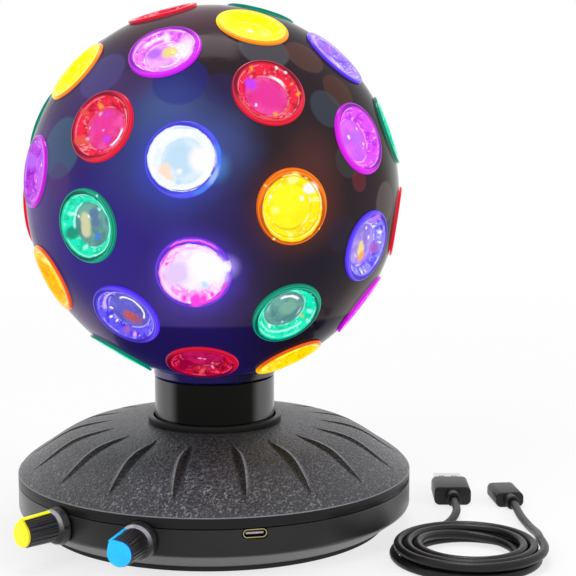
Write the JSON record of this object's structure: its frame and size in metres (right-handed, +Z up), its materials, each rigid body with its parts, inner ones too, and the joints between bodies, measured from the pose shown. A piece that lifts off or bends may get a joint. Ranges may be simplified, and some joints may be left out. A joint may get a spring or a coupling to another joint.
{
  "type": "led disco ball light",
  "caption": "Disco ball light: a smoky ball with round coloured lens cups spins on a neck over a domed round base with turning knobs, a USB-C socket and a loose USB cable.",
  "frame": {"origin": "centre of the base's flat underside, on the table, on the axis that the ball turns about", "axes": "+Z up along the ball's axis; -Y is the front, with the port and the knobs; +X is to the right of someone facing the front"},
  "size_m": [0.2118, 0.1752, 0.2115],
  "materials": {
    "smoky_shell": "glossy smoky black",
    "hub_black": "glossy black",
    "cover_grain": "pebble grain",
    "tray_black": "fine grain",
    "pad_rubber": "matte",
    "knob_black": "satin",
    "cap_yellow": "satin",
    "cap_blue": "satin",
    "bare_steel": "brushed",
    "socket_gold": "satin",
    "plug_steel": "bright",
    "board_green": "satin",
    "pinion_white": "satin",
    "led_white": "satin",
    "cord_black": "satin",
    "rear_lenses": "clear",
    "lens_blue": "translucent",
    "lens_green": "translucent",
    "lens_ice": "translucent",
    "lens_magenta": "translucent",
    "lens_orange": "translucent",
    "lens_pink": "translucent",
    "lens_red": "translucent",
    "lens_yellow": "translucent"
  },
  "bodies": {
    "base": {"base_tray": "tray_black", "base_cover": "cover_grain", "anti_slip_pad": "pad_rubber", "neck_column": "hub_black", "led_post": "bare_steel", "retaining_ring": "bare_steel", "led_head": "led_white", "drive_motor": "bare_steel", "control_board": "board_green", "usb_c_socket": "socket_gold", "yellow_potentiometer": "tray_black", "blue_potentiometer": "tray_black", "cable_coil": "cord_black", "usb_a_lead": "cord_black", "usb_c_lead": "cord_black", "usb_a_grip": "cord_black", "usb_a_shell": "plug_steel", "usb_a_tongue": "led_white", "usb_c_grip": "cord_black", "usb_c_shell": "plug_steel"},
    "ball": {"ball_front_shell": "smoky_shell", "ball_rear_shell": "smoky_shell", "ball_hub": "hub_black", "rear_lens_set": "rear_lenses", "lens_centre": "lens_yellow", "lens_inner_1": "lens_blue", "lens_inner_2": "lens_magenta", "lens_inner_3": "lens_red", "lens_inner_4": "lens_ice", "lens_inner_5": "lens_pink", "lens_inner_6": "lens_green", "lens_outer_01": "lens_red", "lens_outer_02": "lens_yellow", "lens_outer_03": "lens_magenta", "lens_outer_04": "lens_red", "lens_outer_05": "lens_green", "lens_outer_06": "lens_blue", "lens_outer_07": "lens_yellow", "lens_outer_08": "lens_magenta", "lens_outer_09": "lens_red", "lens_outer_10": "lens_green", "lens_outer_11": "lens_blue", "lens_seam_01": "lens_blue", "lens_seam_02": "lens_magenta", "lens_seam_03": "lens_yellow", "lens_seam_04": "lens_blue", "lens_seam_05": "lens_green", "lens_seam_06": "lens_red", "lens_seam_07": "lens_yellow", "lens_seam_08": "lens_magenta", "lens_seam_09": "lens_orange", "lens_seam_10": "lens_green"},
    "pinion": {"drive_pinion": "pinion_white"},
    "yellow_knob": {"yellow_knob": "knob_black", "yellow_knob_cap": "cap_yellow", "yellow_knob_shaft": "bare_steel"},
    "blue_knob": {"blue_knob": "knob_black", "blue_knob_cap": "cap_blue", "blue_knob_shaft": "bare_steel"}
  },
  "joints": [
    {"name": "ball_spin", "type": "hinge", "parent": "base", "child": "ball", "pos_m": [0, 0, 0.1356], "axis": [0, 0, 1], "continuous": true},
    {"name": "pinion_spin", "type": "hinge", "parent": "base", "child": "pinion", "pos_m": [0, 0.016, 0.0645], "axis": [0, 0, 1], "continuous": true},
    {"name": "yellow_knob_turn", "type": "hinge", "parent": "base", "child": "yellow_knob", "pos_m": [-0.05764, -0.05605, 0.0143], "axis": [-0.7169, -0.6972, 0], "range_deg": [-150, 150]},
    {"name": "blue_knob_turn", "type": "hinge", "parent": "base", "child": "blue_knob", "pos_m": [-0.02671, -0.07583, 0.0143], "axis": [-0.3322, -0.9432, 0], "range_deg": [-185, 115]}
  ],
  "couplings": [
    {"joint": "pinion_spin", "follows": "ball_spin", "ratio": 5}
  ]
}
